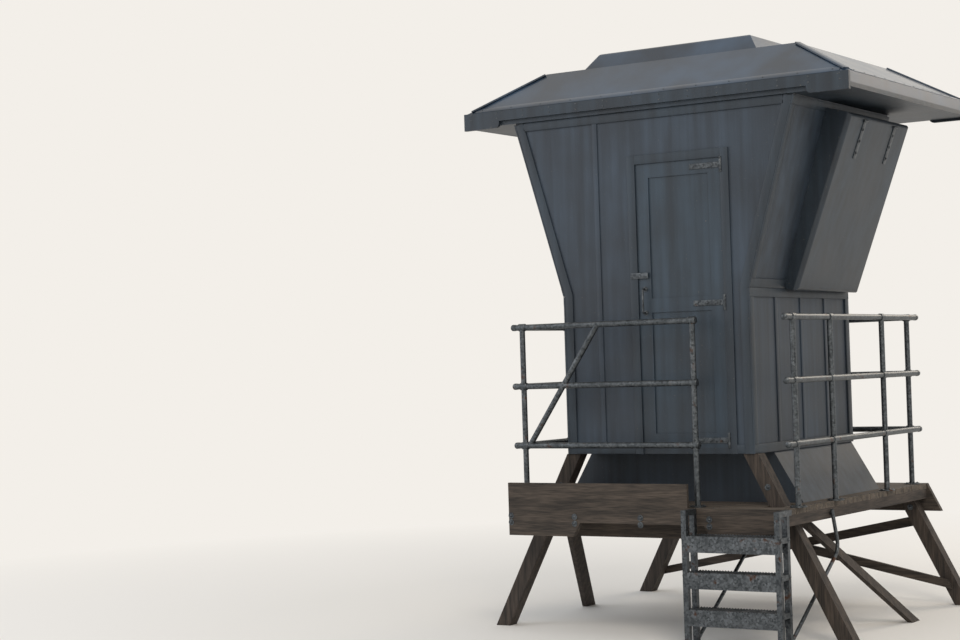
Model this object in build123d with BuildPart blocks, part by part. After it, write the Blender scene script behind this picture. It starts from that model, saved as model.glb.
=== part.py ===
from build123d import *
from math import atan2, cos, hypot, radians, sin, tan
import os

# Lifeguard tower: a timber cabin with side walls that flare outwards, on a railed deck with splayed legs.
# X runs across the tower, Y from the land side to the sea side, Z up from the ground. Millimetres.
os.makedirs("parts", exist_ok=True)

# Deck
deck_width = 2040
deck_depth = 2500
deck_top = 865
board_thickness = 38
joist_depth = 70
joist_width = 38
beam_thickness = 40
beam_depth = 200
beam_waist_depth = 108
beam_deep_run = 560
beam_chamfer = 55
toe_board_height = 155
toe_board_thickness = 25

# Legs and braces
leg_size = 95
leg_splay = 27.5
leg_head_inset = 25
back_leg_inset = 180.6
leg_hole_clearance = 4
strut_depth = 80
strut_width = 38
strut_inset = 15
strut_slope = 38.5
strut_head_gap = 30
brace_depth = 65
brace_thickness = 30
brace_head_drop = 30
brace_foot_height = 120
bearer_depth = 120
bearer_thickness = 45

# Cabin
cabin_width = 1380
cabin_depth = 1590
cabin_shift = -160
cabin_base = 1200
floor_thickness = 40
wall_thickness = 40
knee_height = 2276
wall_top = 3500
eave_width = 2100
plinth_thickness = 18
plinth_spread = 200
plinth_front_inset = 295

# Doorway, windows and shutters
door_width = 640
door_height = 1900
door_centre_x = 200
door_thickness = 38
door_clearance = 3
window_height = 800
window_sill = 190
window_width = 900
back_window_width = 1200
back_window_sill = 1080
back_window_height = 760
shutter_lap = 75
shutter_depth = 96
side_shutter_height = 1230
side_shutter_sill = 5
side_shutter_lean = 90
shutter_skin = 18
shutter_frame = 70
shutter_round = 30
shutter_edge_gap = 8

# Roof
roof_width = 2900
roof_depth = 2194
roof_shift = 90
soffit_thickness = 30
roof_skin = 28
eave_band = 70
roof_slope_height = 270
roof_flat_width = 1920
roof_flat_depth = 1520
fascia_thickness = 26
fascia_depth = 70
fascia_end_depth = 118
fascia_end_run = 290
fascia_end_round = 34
cap_width = 1320
cap_depth = 1480
cap_height = 112
cap_inset = 82
cap_round = 30
cap_skin = 24

# Railings
rail_radius = 20
rail_inset = 8
post_radius = 19
post_flange_radius = 55
post_flange_thickness = 8
rail_heights = (401, 806, 1210)
rail_corner_overhang = 120
side_post_front_run = 420
side_post_back_run = 475
end_post_inset = 70
diagonal_run = 560
diagonal_foot_gap = 35
gate_clearance = 30
rail_joint_gap = 0.3

# Boarding steps
step_width = 610
step_right_margin = 0
step_side_size = 35
step_run = 150
step_rises = (235, 470, 700)
step_plate = 4
step_flange = 100
step_tooth_pitch = 20
step_tooth_height = 7
step_hole_columns = 5
step_hole_rows = 2
step_hole_length = 88
step_hole_width = 26
step_hole_pitch_x = 114
step_hole_pitch_y = 60
step_foot_overhang = 45
step_foot_thickness = 12
stay_radius = 12.5
stay_bend_radius = 90
stay_head_setback = 700
stay_elbow_setback = 790
stay_elbow_height = 550
stay_foot_height = 40
stay_head_height = 815
stay_pin_height = 788
stay_pin_radius = 9
stay_seat_gap = 0.3

# Places worked out from the sizes above
deck_underside = deck_top - board_thickness
deck_centre_y = (step_run + step_foot_overhang) / 2
deck_front = deck_centre_y - deck_depth / 2
deck_back = deck_centre_y + deck_depth / 2
cabin_centre_y = deck_centre_y + cabin_shift
roof_centre_y = deck_centre_y + roof_shift
cabin_front = cabin_centre_y - cabin_depth / 2
cabin_back = cabin_centre_y + cabin_depth / 2
floor_top = cabin_base + floor_thickness
flare_angle = atan2((eave_width - cabin_width) / 2, wall_top - knee_height)
splay = tan(radians(leg_splay))
leg_head_x = cabin_width / 2 - leg_head_inset
leg_front_y = cabin_front + leg_size / 2
leg_back_y = deck_back - beam_thickness - leg_size / 2
soffit_top = wall_top + soffit_thickness
roof_flat_z = soffit_top + eave_band + roof_slope_height


def leg_x(height):
    """Distance of a leg's axis from the tower's middle at a height."""
    return leg_head_x + (cabin_base - height) * splay


def back_leg_x(height):
    """Distance of a back leg's axis from the tower's middle at a height, from its inset at the deck's top."""
    return deck_width / 2 - back_leg_inset + (deck_top - height) * splay


def outer_x(height):
    """Half width of the end walls at a height: upright to the knee, then flared."""
    return cabin_width / 2 + max(0, height - knee_height) * tan(flare_angle)


def save(piece, label):
    """Labels a finished piece and writes it."""
    piece.part.label = label
    export_step(piece.part, f"parts/{label}.step")


def add_pipe(start, end, radius):
    """Adds a round bar from start to end to the part being built."""
    run = Vector(*end) - Vector(*start)
    with BuildSketch(Plane(origin=start, z_dir=run), mode=Mode.PRIVATE) as section:
        Circle(radius)
    extrude(section.sketch, amount=run.length)


def add_box(low, high):
    """Adds a square-edged timber between two opposite corners to the part being built."""
    size = [b - a for a, b in zip(low, high)]
    middle = [(a + b) / 2 for a, b in zip(low, high)]
    with Locations(tuple(middle)):
        Box(*size)


def front_plane(y):
    """Upright plane across the tower at y, drawn as seen from the land side, with +Y as its back."""
    return Plane(origin=(0, y, 0), x_dir=(1, 0, 0), z_dir=(0, -1, 0))


# Four legs, square timbers that splay outwards, cut level at the ground and at what they carry
for name, side, axis_x, y, head in (
    ("leg_front_left", -1, leg_x, leg_front_y, cabin_base),
    ("leg_front_right", 1, leg_x, leg_front_y, cabin_base),
    ("leg_back_left", -1, back_leg_x, leg_back_y, deck_underside),
    ("leg_back_right", 1, back_leg_x, leg_back_y, deck_underside),
):
    half = leg_size / cos(radians(leg_splay)) / 2
    with BuildPart() as leg:
        with BuildSketch(front_plane(y + leg_size / 2)):
            with BuildLine():
                Polyline(
                    (side * (axis_x(0) - half), 0),
                    (side * (axis_x(0) + half), 0),
                    (side * (axis_x(head) + half), head),
                    (side * (axis_x(head) - half), head),
                    close=True,
                )
            make_face()
        extrude(amount=leg_size)
    save(leg, name)

# Raking struts in the plane of the legs, from the deck's underside near the front legs down to the ground
strut_head_z = deck_underside
strut_head_y = leg_front_y + leg_size / 2 + strut_head_gap
strut_foot_y = strut_head_y + strut_head_z / tan(radians(strut_slope))
strut_level_run = strut_depth / sin(radians(strut_slope))
for name, side in (("raking_strut_left", -1), ("raking_strut_right", 1)):
    with BuildPart() as strut:
        with BuildSketch(Plane.XY):
            with Locations((side * (leg_x(0) - strut_inset), strut_foot_y)):
                Rectangle(strut_width, strut_level_run)
        with BuildSketch(Plane.XY.offset(strut_head_z)):
            with Locations((side * (leg_x(strut_head_z) - strut_inset), strut_head_y + strut_level_run / 2)):
                Rectangle(strut_width, strut_level_run)
        loft(ruled=True)
    save(strut, name)

# Cross brace of the back legs: one bar on their land side and one on their sea side
brace_top_z = deck_top - beam_depth - brace_head_drop - brace_depth
brace_faces = (
    (-1, leg_back_y - leg_size / 2 - brace_thickness),
    (1, leg_back_y + leg_size / 2),
)
with BuildPart() as cross_brace:
    for side, y in brace_faces:
        with BuildSketch(front_plane(y + brace_thickness)):
            with BuildLine():
                Polyline(
                    (side * back_leg_x(brace_top_z), brace_top_z),
                    (side * back_leg_x(brace_top_z + brace_depth), brace_top_z + brace_depth),
                    (-side * back_leg_x(brace_foot_height + brace_depth), brace_foot_height + brace_depth),
                    (-side * back_leg_x(brace_foot_height), brace_foot_height),
                    close=True,
                )
            make_face()
        extrude(amount=brace_thickness)
save(cross_brace, "cross_brace")

# Bearer between the front legs, under the joists
bearer_top = deck_underside - joist_depth
bearer_half = leg_x(bearer_top) - leg_size / cos(radians(leg_splay)) / 2
bearer_foot_half = bearer_half + bearer_depth * splay
with BuildPart() as front_bearer:
    with BuildSketch(front_plane(leg_front_y + bearer_thickness / 2)):
        with BuildLine():
            Polyline(
                (-bearer_half, bearer_top),
                (bearer_half, bearer_top),
                (bearer_foot_half, bearer_top - bearer_depth),
                (-bearer_foot_half, bearer_top - bearer_depth),
                close=True,
            )
        make_face()
    extrude(amount=bearer_thickness)
save(front_bearer, "front_bearer")

# Deck beams at the land and sea ends: deep at both ends, with chamfered steps to a shallower waist
beam_low = deck_top - beam_depth
beam_waist = deck_top - beam_waist_depth
beam_step = deck_width / 2 - beam_deep_run
beam_half_low = deck_width / 2 + beam_depth * splay
for name, y in (("deck_beam_front", deck_front), ("deck_beam_back", deck_back - beam_thickness)):
    half_low = beam_half_low if y > deck_front else deck_width / 2
    with BuildPart() as beam:
        with BuildSketch(front_plane(y + beam_thickness)):
            with BuildLine():
                Polyline(
                    (-deck_width / 2, deck_top),
                    (deck_width / 2, deck_top),
                    (half_low, beam_low),
                    (beam_step + beam_chamfer, beam_low),
                    (beam_step, beam_waist),
                    (-beam_step, beam_waist),
                    (-beam_step - beam_chamfer, beam_low),
                    (-half_low, beam_low),
                    close=True,
                )
            make_face()
        extrude(amount=beam_thickness)
    save(beam, name)

# Joists between the beams
joist_length = deck_depth - 2 * beam_thickness
joist_xs = [f * (deck_width - joist_width) / 2 for f in (-1, -0.5, 0, 0.5, 1)]
with BuildPart() as deck_joists:
    with Locations(*[(x, deck_centre_y, deck_underside - joist_depth / 2) for x in joist_xs]):
        Box(joist_width, joist_length, joist_depth)
save(deck_joists, "deck_joists")

# Deck boards, notched round the front legs that pass through them
hole_low = leg_x(deck_top) - leg_size / cos(radians(leg_splay)) / 2 - leg_hole_clearance
hole_high = leg_x(deck_underside) + leg_size / cos(radians(leg_splay)) / 2 + leg_hole_clearance
with BuildPart() as deck_boards:
    with BuildSketch(Plane.XY.offset(deck_underside)):
        with Locations((0, deck_centre_y)):
            Rectangle(deck_width, joist_length)
        with Locations(*[(s * (hole_low + hole_high) / 2, leg_front_y) for s in (-1, 1)]):
            Rectangle(hole_high - hole_low, leg_size + 2 * leg_hole_clearance, mode=Mode.SUBTRACT)
    extrude(amount=board_thickness)
save(deck_boards, "deck_boards")

# Boarding steps stand at the right of the land side, and the toe board stops short of them
step_x_high = deck_width / 2 - step_right_margin
step_x_low = step_x_high - step_width
toe_board_end = step_x_low - step_side_size - gate_clearance
with BuildPart() as toe_board:
    add_box(
        (-deck_width / 2, deck_front, deck_top),
        (toe_board_end, deck_front + toe_board_thickness, deck_top + toe_board_height),
    )
save(toe_board, "toe_board")

# Plinth under the cabin: four panels, the side ones leaning like the legs
plinth_top_half = cabin_width / 2
plinth_foot_half = plinth_top_half + plinth_spread
plinth_front_y = cabin_front + plinth_front_inset
plinth_lean = plinth_thickness / cos(atan2(plinth_spread, cabin_base - deck_top))
for name, side in (("plinth_left", -1), ("plinth_right", 1)):
    with BuildPart() as plinth_side:
        with BuildSketch(front_plane(cabin_back)):
            with BuildLine():
                Polyline(
                    (side * plinth_foot_half, deck_top),
                    (side * plinth_top_half, cabin_base),
                    (side * (plinth_top_half - plinth_lean), cabin_base),
                    (side * (plinth_foot_half - plinth_lean), deck_top),
                    close=True,
                )
            make_face()
        extrude(amount=cabin_back - plinth_front_y)
    save(plinth_side, name)
for name, y in (("plinth_front", plinth_front_y + plinth_thickness), ("plinth_back", cabin_back)):
    with BuildPart() as plinth_end:
        with BuildSketch(front_plane(y)):
            with BuildLine():
                Polyline(
                    (plinth_lean - plinth_foot_half, deck_top),
                    (plinth_foot_half - plinth_lean, deck_top),
                    (plinth_top_half - plinth_lean, cabin_base),
                    (plinth_lean - plinth_top_half, cabin_base),
                    close=True,
                )
            make_face()
        extrude(amount=plinth_thickness)
    save(plinth_end, name)

# Cabin floor
with BuildPart() as cabin_floor:
    add_box((-cabin_width / 2, cabin_front, cabin_base), (cabin_width / 2, cabin_back, floor_top))
save(cabin_floor, "cabin_floor")

# Land wall: three panels beside and over the doorway
door_left = door_centre_x - door_width / 2
door_right = door_centre_x + door_width / 2
door_head = floor_top + door_height
for name, side, edge in (("front_wall_left", -1, door_left), ("front_wall_right", 1, door_right)):
    with BuildPart() as wall_panel:
        with BuildSketch(front_plane(cabin_front + wall_thickness)):
            with BuildLine():
                Polyline(
                    (side * cabin_width / 2, floor_top),
                    (side * cabin_width / 2, knee_height),
                    (side * outer_x(door_head), door_head),
                    (edge, door_head),
                    (edge, floor_top),
                    close=True,
                )
            make_face()
        extrude(amount=wall_thickness)
    save(wall_panel, name)
with BuildPart() as front_wall_top:
    with BuildSketch(front_plane(cabin_front + wall_thickness)):
        with BuildLine():
            Polyline(
                (-outer_x(door_head), door_head),
                (outer_x(door_head), door_head),
                (eave_width / 2, wall_top),
                (-eave_width / 2, wall_top),
                close=True,
            )
        make_face()
    extrude(amount=wall_thickness)
save(front_wall_top, "front_wall_top")

# Sea wall: one panel with a wide lookout window
back_window_z = floor_top + back_window_sill + back_window_height / 2
with BuildPart() as back_wall:
    with BuildSketch(front_plane(cabin_back)):
        with BuildLine():
            Polyline(
                (-cabin_width / 2, floor_top),
                (cabin_width / 2, floor_top),
                (cabin_width / 2, knee_height),
                (eave_width / 2, wall_top),
                (-eave_width / 2, wall_top),
                (-cabin_width / 2, knee_height),
                close=True,
            )
        make_face()
        with Locations((0, back_window_z)):
            Rectangle(back_window_width, back_window_height, mode=Mode.SUBTRACT)
    extrude(amount=wall_thickness)
save(back_wall, "back_wall")

# Side walls between the end walls: upright below the knee, flared with a window above it
side_front = cabin_front + wall_thickness
side_back = cabin_back - wall_thickness
level_thickness = wall_thickness / cos(flare_angle)
window_mid = window_sill + window_height / 2
shutter_width = window_width + 2 * shutter_lap
window_y = cabin_back - shutter_edge_gap - shutter_width / 2


def wall_plane(side):
    """Plane on a flared wall's outer face, its origin at the knee, its Y up the wall and its Z outwards."""
    outward = (side * cos(flare_angle), 0, -sin(flare_angle))
    return Plane(origin=(side * cabin_width / 2, 0, knee_height), x_dir=(0, side, 0), z_dir=outward)


for name, side in (("left", -1), ("right", 1)):
    with BuildPart() as lower_wall:
        with BuildSketch(front_plane(side_back)):
            with Locations((side * (cabin_width - wall_thickness) / 2, (floor_top + knee_height) / 2)):
                Rectangle(wall_thickness, knee_height - floor_top)
        extrude(amount=side_back - side_front)
    save(lower_wall, f"{name}_lower_wall")
    with BuildPart() as upper_wall:
        with BuildSketch(front_plane(side_back)):
            with BuildLine():
                Polyline(
                    (side * cabin_width / 2, knee_height),
                    (side * eave_width / 2, wall_top),
                    (side * (eave_width / 2 - level_thickness), wall_top),
                    (side * (cabin_width / 2 - level_thickness), knee_height),
                    close=True,
                )
            make_face()
        extrude(amount=side_back - side_front)
        with BuildSketch(wall_plane(side)):
            with Locations((side * window_y, window_mid)):
                Rectangle(window_width, window_height)
        extrude(amount=-2 * wall_thickness, mode=Mode.SUBTRACT)
    save(upper_wall, f"{name}_upper_wall")



# Shutters: a skin on a frame of timbers, rounded at the outer edges, lying over each window
def leaning_face(seat, foot_height, foot_depth, height, lean):
    """Plane of a face that stands off the seat by the foot depth at its foot and by the lean more at its head."""
    tilt = atan2(lean, height)
    normal = seat.z_dir * cos(tilt) - seat.y_dir * sin(tilt)
    return Plane(origin=seat.from_local_coords((0, foot_height, foot_depth)), x_dir=seat.x_dir, z_dir=normal)


def make_shutter(label, seat, centre, width, height, lean=0):
    """Builds a closed shutter on a plane over a window, deeper at its head than at its foot by the lean."""
    foot = centre[1] - height / 2
    with BuildPart() as shutter:
        with BuildSketch(seat):
            with Locations(centre):
                Rectangle(width, height)
        extrude(amount=shutter_depth + lean)
        split(bisect_by=leaning_face(seat, foot, shutter_depth, height, lean), keep=Keep.BOTTOM)
        fillet(shutter.faces().sort_by(Axis(seat.origin, seat.z_dir))[-1].edges(), shutter_round)
        with BuildPart(mode=Mode.SUBTRACT):
            with BuildSketch(seat):
                with Locations(centre):
                    Rectangle(width - 2 * shutter_frame, height - 2 * shutter_frame)
            extrude(amount=shutter_depth + lean)
            split(bisect_by=leaning_face(seat, foot, shutter_depth - shutter_skin, height, lean), keep=Keep.BOTTOM)
    save(shutter, label)


for name, side in (("left", -1), ("right", 1)):
    centre = (side * window_y, side_shutter_sill + side_shutter_height / 2)
    make_shutter(
        f"{name}_shutter", wall_plane(side), centre, shutter_width, side_shutter_height, side_shutter_lean
    )
make_shutter(
    "back_shutter",
    Plane(origin=(0, cabin_back, 0), x_dir=(-1, 0, 0), z_dir=(0, 1, 0)),
    (0, back_window_z),
    back_window_width + 2 * shutter_lap,
    back_window_height + 2 * shutter_lap,
)

# Door leaf, flush with the land wall's outer face, with a raised stile and rail frame round two panels
door_rail = 95
door_panel_recess = 9
door_low = floor_top
door_leaf_width = door_width - 2 * door_clearance
door_leaf_height = door_height - door_clearance
door_panel_height = (door_leaf_height - 3 * door_rail) / 2
with BuildPart() as door:
    with BuildSketch(front_plane(cabin_front + door_thickness)):
        with Locations((door_centre_x, door_low + door_leaf_height / 2)):
            Rectangle(door_leaf_width, door_leaf_height)
    extrude(amount=door_thickness)
    with BuildSketch(front_plane(cabin_front)):
        lower_panel_z = door_low + door_rail + door_panel_height / 2
        upper_panel_z = lower_panel_z + door_panel_height + door_rail
        with Locations((door_centre_x, lower_panel_z), (door_centre_x, upper_panel_z)):
            Rectangle(door_leaf_width - 2 * door_rail, door_panel_height)
    extrude(amount=-door_panel_recess, mode=Mode.SUBTRACT)
save(door, "door")

# Roof soffit: a board that closes the roof from below and lies on the wall tops
roof_front = roof_centre_y - roof_depth / 2 + fascia_thickness
roof_back = roof_centre_y + roof_depth / 2 - fascia_thickness
with BuildPart() as roof_soffit:
    add_box((-roof_width / 2, roof_front, wall_top), (roof_width / 2, roof_back, soffit_top))
save(roof_soffit, "roof_soffit")

# Roof shell: an upright eave band, four slopes and a flat top, hollow inside
eave_top = soffit_top + eave_band
with BuildPart() as roof_shell:
    with BuildSketch(Plane.XY.offset(soffit_top)):
        with Locations((0, roof_centre_y)):
            Rectangle(roof_width, roof_back - roof_front)
    extrude(amount=eave_band)
    with BuildSketch(Plane.XY.offset(eave_top)):
        with Locations((0, roof_centre_y)):
            Rectangle(roof_width, roof_back - roof_front)
    with BuildSketch(Plane.XY.offset(roof_flat_z)):
        with Locations((0, roof_centre_y)):
            Rectangle(roof_flat_width, roof_flat_depth)
    loft(ruled=True)
    offset(amount=-roof_skin, openings=roof_shell.faces().sort_by(Axis.Z)[0])
save(roof_shell, "roof_shell")

# Roof cap: a raised tray with leaning sides and a rounded shoulder on the flat top
with BuildPart() as roof_cap:
    with BuildSketch(Plane.XY.offset(roof_flat_z)):
        with Locations((0, roof_centre_y)):
            Rectangle(cap_width, cap_depth)
    with BuildSketch(Plane.XY.offset(roof_flat_z + cap_height)):
        with Locations((0, roof_centre_y)):
            Rectangle(cap_width - 2 * cap_inset, cap_depth - 2 * cap_inset)
    loft(ruled=True)
    fillet(roof_cap.faces().sort_by(Axis.Z)[-1].edges(), cap_round)
    with BuildSketch(Plane.XY.offset(roof_flat_z)):
        with Locations((0, roof_centre_y)):
            Rectangle(cap_width - 2 * cap_skin, cap_depth - 2 * cap_skin)
    with BuildSketch(Plane.XY.offset(roof_flat_z + cap_height - cap_skin)):
        with Locations((0, roof_centre_y)):
            Rectangle(cap_width - 2 * (cap_inset + cap_skin), cap_depth - 2 * (cap_inset + cap_skin))
    loft(ruled=True, mode=Mode.SUBTRACT)
save(roof_cap, "roof_cap")

# Roof fascias on the land and sea edges: deeper at both ends, with a rounded lobe and a notch beside it
fascia_top = eave_top
fascia_low = fascia_top - fascia_depth
fascia_end_low = fascia_top - fascia_end_depth
lobe_x = roof_width / 2 - fascia_end_run
lobe_centre_x = (roof_width - fascia_end_run) / 2
for name, y in (("roof_fascia_front", roof_front), ("roof_fascia_back", roof_back + fascia_thickness)):
    with BuildPart() as fascia:
        with BuildSketch(front_plane(y)):
            with Locations((0, (fascia_top + fascia_low) / 2)):
                Rectangle(roof_width, fascia_top - fascia_low)
            with Locations(*[(s * lobe_centre_x, (fascia_top + fascia_end_low) / 2) for s in (-1, 1)]):
                Rectangle(fascia_end_run, fascia_top - fascia_end_low)
        extrude(amount=fascia_thickness)
        inner_corners = (
            fascia.edges()
            .filter_by(Axis.Y)
            .filter_by_position(Axis.Z, fascia_end_low - 1, fascia_end_low + 1)
            .filter_by_position(Axis.X, -lobe_x - 1, lobe_x + 1)
        )
        fillet(inner_corners, fascia_end_round)
    save(fascia, name)

# Railings: three round rails on flanged posts; the side rails run to the corners, where the end rails stop
rail_x = deck_width / 2 - rail_inset
rail_front = deck_front + rail_corner_overhang
rail_back = deck_back - rail_corner_overhang
gate_x = step_x_low - gate_clearance - post_radius
end_reach = rail_x - rail_radius - rail_joint_gap
end_post_x = rail_x - end_post_inset
post_low_y = deck_centre_y - side_post_front_run
post_high_y = deck_centre_y + side_post_back_run
railings = (
    (
        "railing_left",
        (-rail_x, rail_front),
        (-rail_x, rail_back),
        ((-rail_x, post_low_y), (-rail_x, post_high_y)),
    ),
    (
        "railing_right",
        (rail_x, rail_front),
        (rail_x, rail_back),
        ((rail_x, rail_front + rail_corner_overhang), (rail_x, post_low_y), (rail_x, post_high_y)),
    ),
    (
        "railing_front",
        (-end_reach, rail_front),
        (gate_x, rail_front),
        ((-end_post_x, rail_front), (gate_x, rail_front)),
    ),
    (
        "railing_back",
        (-end_reach, rail_back),
        (end_reach, rail_back),
        ((-end_post_x, rail_back), (0, rail_back), (end_post_x, rail_back)),
    ),
)
diagonal_x = diagonal_foot_gap - end_post_x
diagonal_low = (diagonal_x, rail_front, deck_top + rail_heights[0])
diagonal_high = (diagonal_x + diagonal_run, rail_front, deck_top + rail_heights[2])
for name, start, end, posts in railings:
    with BuildPart() as railing:
        for height in rail_heights:
            z = deck_top + height
            add_pipe((*start, z), (*end, z), rail_radius)
        for x, y in posts:
            add_pipe((x, y, deck_top), (x, y, deck_top + rail_heights[2]), post_radius)
            add_pipe((x, y, deck_top), (x, y, deck_top + post_flange_thickness), post_flange_radius)
        if name == "railing_front":
            add_pipe(diagonal_low, diagonal_high, post_radius)
    save(railing, name)

# Boarding steps: two sides of paired uprights, each on a foot plate, with a short bar under every tread
step_front_y = deck_front - step_run
step_back_y = deck_front
for name, x_low, reach in (
    ("step_side_left", step_x_low - step_side_size, step_back_y),
    ("step_side_right", step_x_high, step_back_y + beam_thickness),
):
    x_high = x_low + step_side_size
    with BuildPart() as step_side:
        add_box((x_low, step_front_y, 0), (x_high, step_front_y + step_side_size, deck_top))
        add_box((x_low, step_back_y - step_side_size, 0), (x_high, step_back_y, deck_top))
        for rise in step_rises:
            add_box((x_low, step_front_y, rise - step_side_size), (x_high, step_back_y, rise))
        add_box((x_low, step_front_y, deck_top - step_side_size), (x_high, reach, deck_top))
        add_box(
            (x_low, step_front_y - step_foot_overhang, 0),
            (x_high, step_back_y, step_foot_thickness),
        )
    save(step_side, name)

# Treads: folded channels with toothed upper edges and rows of slotted holes
tooth_count = int(step_width // step_tooth_pitch)
step_middle_x = (step_x_low + step_x_high) / 2
tooth_first_x = step_middle_x - (tooth_count - 1) / 2 * step_tooth_pitch
tooth_xs = [tooth_first_x + k * step_tooth_pitch for k in range(tooth_count)]
tooth_side = hypot(step_tooth_pitch / 2, step_tooth_height)
step_middle_y = (step_front_y + step_back_y) / 2
for number, rise in enumerate(step_rises, start=1):
    with BuildPart() as tread:
        with BuildSketch(Plane.XY.offset(rise - step_plate)):
            with Locations((step_middle_x, step_middle_y)):
                Rectangle(step_width, step_run)
            with Locations((step_middle_x, step_middle_y)):
                with GridLocations(step_hole_pitch_x, step_hole_pitch_y, step_hole_columns, step_hole_rows):
                    SlotOverall(step_hole_length, step_hole_width, mode=Mode.SUBTRACT)
        extrude(amount=step_plate)
        for y in (step_front_y + step_plate, step_back_y):
            with BuildSketch(front_plane(y)):
                with Locations((step_middle_x, rise - step_flange / 2)):
                    Rectangle(step_width, step_flange)
                with Locations(*[(x, rise) for x in tooth_xs]):
                    Triangle(a=step_tooth_pitch, b=tooth_side, c=tooth_side, align=(Align.CENTER, Align.MIN))
            extrude(amount=step_plate)
    save(tread, f"tread_{number}")

# Stays: bent pipes from the feet of the steps to pins in the joists
stay_head_y = deck_front + stay_head_setback
stay_elbow_y = deck_front + stay_elbow_setback
stay_lean = atan2(stay_elbow_height - stay_foot_height, stay_elbow_y - step_back_y)
stay_foot_y = step_back_y + stay_radius * sin(stay_lean) + stay_seat_gap
pin_share = (stay_head_height - stay_pin_height) / (stay_head_height - stay_elbow_height)
stay_pin_y = stay_head_y + pin_share * (stay_elbow_y - stay_head_y)
stay_places = (
    (step_x_low - step_side_size / 2, joist_xs[3] - joist_width / 2),
    (step_x_high + step_side_size / 2, joist_xs[4] + joist_width / 2),
)
with BuildPart() as step_stays:
    for x, joist_face in stay_places:
        with BuildLine() as route:
            FilletPolyline(
                (x, stay_head_y, stay_head_height),
                (x, stay_elbow_y, stay_elbow_height),
                (x, stay_foot_y, stay_foot_height),
                radius=stay_bend_radius,
            )
        with BuildSketch(Plane(origin=route.wire() @ 0, z_dir=route.wire() % 0)):
            Circle(stay_radius)
        sweep(path=route.wire())
        add_pipe((x, stay_pin_y, stay_pin_height), (joist_face, stay_pin_y, stay_pin_height), stay_pin_radius)
save(step_stays, "step_stays")
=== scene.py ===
import math

import bmesh
import bpy
import numpy as np
from mathutils import Matrix, Vector


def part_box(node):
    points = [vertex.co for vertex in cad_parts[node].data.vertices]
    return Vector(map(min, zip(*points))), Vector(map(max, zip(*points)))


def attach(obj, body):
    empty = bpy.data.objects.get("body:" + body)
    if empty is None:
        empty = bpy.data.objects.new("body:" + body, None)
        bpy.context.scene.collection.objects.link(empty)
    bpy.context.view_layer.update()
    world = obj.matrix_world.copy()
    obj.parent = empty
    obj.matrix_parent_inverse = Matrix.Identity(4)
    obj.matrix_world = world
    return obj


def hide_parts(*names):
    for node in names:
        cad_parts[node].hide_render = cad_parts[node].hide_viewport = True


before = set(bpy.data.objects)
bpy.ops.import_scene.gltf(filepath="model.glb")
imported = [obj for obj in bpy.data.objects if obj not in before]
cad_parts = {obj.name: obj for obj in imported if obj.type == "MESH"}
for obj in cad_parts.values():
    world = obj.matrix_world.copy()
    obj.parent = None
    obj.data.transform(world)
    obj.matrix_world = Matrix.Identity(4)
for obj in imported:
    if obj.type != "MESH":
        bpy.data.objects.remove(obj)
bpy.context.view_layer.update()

# Lifeguard tower: painted plywood cabin and roof on weathered timbers, with galvanised rails and steps.
# Metres and degrees, in the model's own frame: X across, Y from the land side to the sea side, Z up.

# Camera, matched to the photograph's outline of the tower
CAMERA_PLACE = (6.139, -12.2025, 1.826)
CAMERA_YAW = 33.616
CAMERA_PITCH = 1.345
CAMERA_ROLL = -1.784
CAMERA_FAR_LIMIT = 200.0
FOCAL_PIXELS = 1927.9
PHOTO_WIDTH = 960
SENSOR_WIDTH = 36.0

# Sizes of the tower's own pieces that their boxes don't give
LEG_SPLAY = 27.5
JOIST_COUNT = 5
JOIST_WIDTH = 0.038
DOOR_RAIL = 0.095
SHUTTER_WIDTH = 1.050
SHUTTER_HEIGHT = 1.230
SHUTTER_DEPTH = 0.096
SHUTTER_LEAN = 0.090
SHUTTER_SILL = 0.005
ROOF_SLOPE_HEIGHT = 0.270
ROOF_FLAT_HALF_X = 0.960
ROOF_FLAT_HALF_Y = 0.760
RAIL_RADIUS = 0.020
RAIL_HEIGHTS = (0.401, 0.806, 1.210)
FLANGE_RADIUS = 0.055
FLANGE_THICKNESS = 0.008
SIDE_POST_RUNS = (-0.420, 0.475)
END_POST_INSET = 0.070
CORNER_OVERHANG = 0.120
STEP_FOOT_THICKNESS = 0.012

# Deck planks and their screws, which stand off a plank's middle by a share of its width
PLANK_WIDTH = 0.140
PLANK_GAP = 0.006
PLANK_ROUND = 0.004
LEG_HOLE_GAP = 0.004
DECK_SCREW_XS = (-1.0, -0.5, 0.0, 0.5, 1.0)
DECK_SCREW_SHARE = 0.3

# Trim boards and battens
TRIM_WIDTH = 0.060
TRIM_THICKNESS = 0.012
TRIM_ROUND = 0.003
TRIM_JOINT = 0.001
KNEE_TRIM_GAP = 0.004
EAVE_TRIM_GAP = 0.008
BATTEN_WIDTH = 0.038
BATTEN_THICKNESS = 0.00792
BATTEN_CENTRE = 0.004
BATTEN_PITCH = 0.400
LAND_BATTEN_X = -0.420

# Bolt heads and the washers under them, each as (head radius, washer radius)
FRAME_BOLT = (0.011, 0.021)
DOOR_BOLT = (0.006, 0.009)
HANDLE_FOOT = (0.012, 0.018)
STRAP_BOLT = (0.007, 0.011)
FLANGE_BOLT = (0.006, 0.010)
TREAD_BOLT = (0.009, 0.015)
FOOT_BOLT = (0.008, 0.014)
WASHER_THICKNESS = 0.003
WASHER_EDGE = 0.0028

# A bolt head's dome: its height as a share of its radius, and how much of a quarter turn it is drawn over
DOME_SHARE = 0.6
DOME_END = 0.95

# Screw heads
SCREW_RADIUS = 0.0055
SCREW_CROWN_RADIUS = 0.003025
SCREW_HEIGHT = 0.003

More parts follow.
